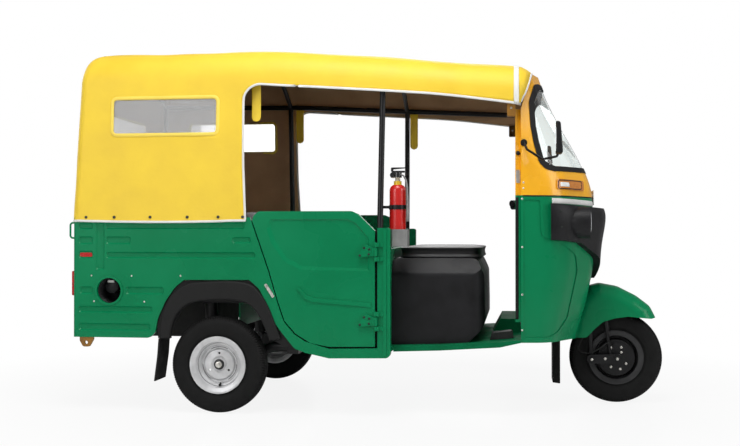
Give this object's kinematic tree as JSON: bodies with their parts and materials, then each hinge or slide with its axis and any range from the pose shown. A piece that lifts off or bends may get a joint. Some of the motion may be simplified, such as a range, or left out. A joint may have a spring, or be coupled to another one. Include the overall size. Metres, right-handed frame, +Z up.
{
  "type": "auto rickshaw",
  "caption": "Three-wheeled passenger taxi with an open-sided cab, low side doors, a bench seat and a stretched vinyl canopy over a tube frame.",
  "frame": {"origin": "on the ground under the middle of the vehicle", "axes": "+X forward, +Y to the driver's left, +Z up"},
  "size_m": [3.132, 1.6, 1.95],
  "materials": {
    "green_paint": "gloss",
    "amber_paint": "gloss",
    "yellow_vinyl": "satin",
    "canvas_brown": "matt",
    "white_trim": "satin",
    "clear_vinyl": "clear",
    "window_glass": "clear",
    "black_plastic": "satin",
    "rubber": "matt",
    "black_metal": "satin",
    "seat_vinyl": "satin",
    "tyre_rubber": "matt",
    "silver_steel": "satin",
    "black_steel": "satin",
    "bright_steel": "satin",
    "grey_metal": "matt",
    "red_paint": "gloss",
    "amber_lens": "gloss",
    "red_lens": "gloss",
    "clear_lens": "clear",
    "plate_white": "gloss",
    "mirror_face": "polished"
  },
  "bodies": {
    "chassis": {"arch_liners": "black_plastic", "bench_backrest": "seat_vinyl", "bench_base": "green_paint", "bench_cushion": "seat_vinyl", "bulkhead": "green_paint", "cab_box": "grey_metal", "canopy_rear": "yellow_vinyl", "canopy_roof": "yellow_vinyl", "canopy_sides": "yellow_vinyl", "canopy_windows": "clear_vinyl", "chassis_frame": "black_metal", "cowl": "green_paint", "dash_shelf": "black_plastic", "door_pillars": "green_paint", "driver_seat_base": "black_plastic", "driver_seat_cushion": "seat_vinyl", "engine": "grey_metal", "extinguisher": "red_paint", "extinguisher_bracket": "black_metal", "floor_pan": "green_paint", "foot_pedal": "grey_metal", "front_well": "black_plastic", "head_tube": "black_metal", "headlamp_lenses": "clear_lens", "headlamp_mask": "black_plastic", "indicators": "amber_lens", "luggage_deck": "grey_metal", "mirror_heads": "black_plastic", "mirror_stalks": "black_metal", "mud_flaps": "rubber", "number_plates": "plate_white", "posts": "black_metal", "quarter_panel_left": "green_paint", "quarter_panel_right": "green_paint", "rear_handle": "green_paint", "rear_panel": "green_paint", "rear_suspension": "black_metal", "roof_frame": "black_metal", "straps": "yellow_vinyl", "tail_lamps": "red_lens", "tow_plate": "amber_paint", "windshield_frame": "amber_paint", "windshield_gasket": "rubber", "windshield_glass": "window_glass"},
    "steering": {"steering_fork": "black_metal", "front_link": "black_metal", "front_damper": "black_metal", "front_mudguard": "green_paint", "handlebar": "black_metal"},
    "front_wheel": {"front_tyre": "tyre_rubber", "front_rim": "black_steel"},
    "rear_wheel_right": {"rear_tyre_right": "tyre_rubber", "rear_rim_right": "silver_steel"},
    "rear_wheel_left": {"rear_tyre_left": "tyre_rubber", "rear_rim_left": "silver_steel"},
    "door_right": {"door_right": "green_paint"},
    "door_left": {"door_left": "green_paint"}
  },
  "joints": [
    {"name": "steering", "type": "hinge", "parent": "chassis", "child": "steering", "pos_m": [1.15, 0, 0.6], "axis": [-0.4226, 0, 0.9063], "range_deg": [-35, 35]},
    {"name": "front_wheel", "type": "hinge", "parent": "steering", "child": "front_wheel", "pos_m": [1.316, 0, 0.25], "axis": [0, 1, 0], "continuous": true},
    {"name": "rear_wheel_right", "type": "hinge", "parent": "chassis", "child": "rear_wheel_right", "pos_m": [-0.75, -0.63, 0.25], "axis": [0, 1, 0], "continuous": true},
    {"name": "rear_wheel_left", "type": "hinge", "parent": "chassis", "child": "rear_wheel_left", "pos_m": [-0.75, 0.63, 0.25], "axis": [0, 1, 0], "continuous": true},
    {"name": "door_right", "type": "hinge", "parent": "chassis", "child": "door_right", "pos_m": [0.075, -0.694, 0.66], "axis": [0, 0, 1], "range_deg": [0, 75]},
    {"name": "door_left", "type": "hinge", "parent": "chassis", "child": "door_left", "pos_m": [0.075, 0.694, 0.66], "axis": [0, 0, -1], "range_deg": [0, 75]}
  ]
}
